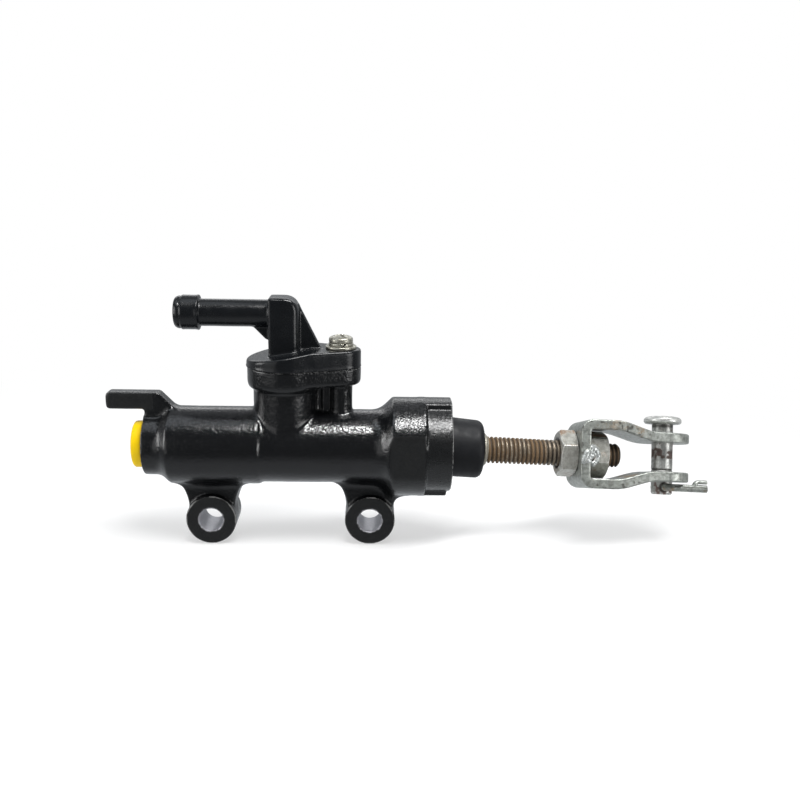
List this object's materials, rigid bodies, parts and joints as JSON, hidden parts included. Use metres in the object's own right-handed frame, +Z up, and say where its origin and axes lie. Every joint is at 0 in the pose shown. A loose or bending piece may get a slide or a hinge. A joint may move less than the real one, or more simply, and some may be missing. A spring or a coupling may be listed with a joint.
{
  "type": "brake master cylinder",
  "caption": "Motorcycle rear brake master cylinder: cast barrel with two mounting ears, a plastic hose elbow on top, and a push rod in a rubber boot ending in an adjustable clevis.",
  "frame": {"origin": "midway between the two mounting holes, on the mid-plane of the ears", "axes": "+X along the bore towards the clevis, +Y along the mounting holes away from the viewer, +Z up towards the hose elbow"},
  "size_m": [0.1706, 0.0254, 0.0704],
  "materials": {
    "black_cast_paint": "gloss black paint over a rough casting, chipped at the edges",
    "yellow_plastic": "bright yellow moulded plastic",
    "black_plastic": "satin-gloss black moulded plastic",
    "black_rubber": "matte",
    "zinc_plate": "zinc plate with a faint yellow tint",
    "anodised_alloy": "satin anodised",
    "spring_steel": "plain oiled steel",
    "boot_rubber": "matte charcoal",
    "rusty_rod_steel": "worn zinc over brown surface rust",
    "zinc_nut": "dull zinc with rust specks",
    "galvanised_steel": "dull galvanised, rust freckles on the sheared edges",
    "worn_pin_steel": "bright worn steel with a brown middle"
  },
  "bodies": {
    "cylinder": {"cylinder_body": "black_cast_paint", "hose_elbow": "black_plastic", "elbow_o_ring": "black_rubber", "elbow_screw": "zinc_plate", "screw_lock_washer": "zinc_plate", "screw_flat_washer": "zinc_plate", "return_spring": "spring_steel", "stop_washer": "spring_steel", "circlip": "spring_steel", "dust_boot": "boot_rubber"},
    "plug": {"outlet_plug": "yellow_plastic"},
    "piston": {"piston": "anodised_alloy", "primary_cup": "black_rubber", "secondary_cup": "black_rubber"},
    "rod": {"push_rod": "rusty_rod_steel"},
    "lock_nut": {"lock_nut": "zinc_nut"},
    "clevis": {"clevis": "galvanised_steel", "clevis_nut": "zinc_nut"},
    "pin": {"clevis_pin": "worn_pin_steel", "cotter_pin": "zinc_plate"}
  },
  "joints": [
    {"name": "piston_stroke", "type": "slide", "parent": "cylinder", "child": "piston", "axis": [-1, 0, 0], "range_m": [0, 0.007], "stiffness_N_per_m": 1500, "springref_m": -0.012, "deforming": ["return_spring", "dust_boot"]},
    {"name": "rod_swing", "type": "hinge", "parent": "piston", "child": "rod", "pos_m": [0.0338, 0, 0.0207], "axis": [0.036, 0.3266, 0.9445], "range_deg": [-3, 3]},
    {"name": "lock_nut_turn", "type": "hinge", "parent": "rod", "child": "lock_nut", "pos_m": [0.07893, 0.00118, 0.01857], "axis": [0.9985, 0.0261, -0.0471], "continuous": true},
    {"name": "clevis_turn", "type": "hinge", "parent": "rod", "child": "clevis", "pos_m": [0.08672, 0.00139, 0.0182], "axis": [0.9985, 0.0261, -0.0471], "continuous": true},
    {"name": "clevis_pin_turn", "type": "hinge", "parent": "clevis", "child": "pin", "pos_m": [0.10759, 0.00193, 0.01722], "axis": [0.036, 0.3266, 0.9445], "range_deg": [-75, 65]},
    {"name": "plug_pull", "type": "slide", "parent": "cylinder", "child": "plug", "axis": [-1, 0, 0], "range_m": [0, 0.012]}
  ]
}
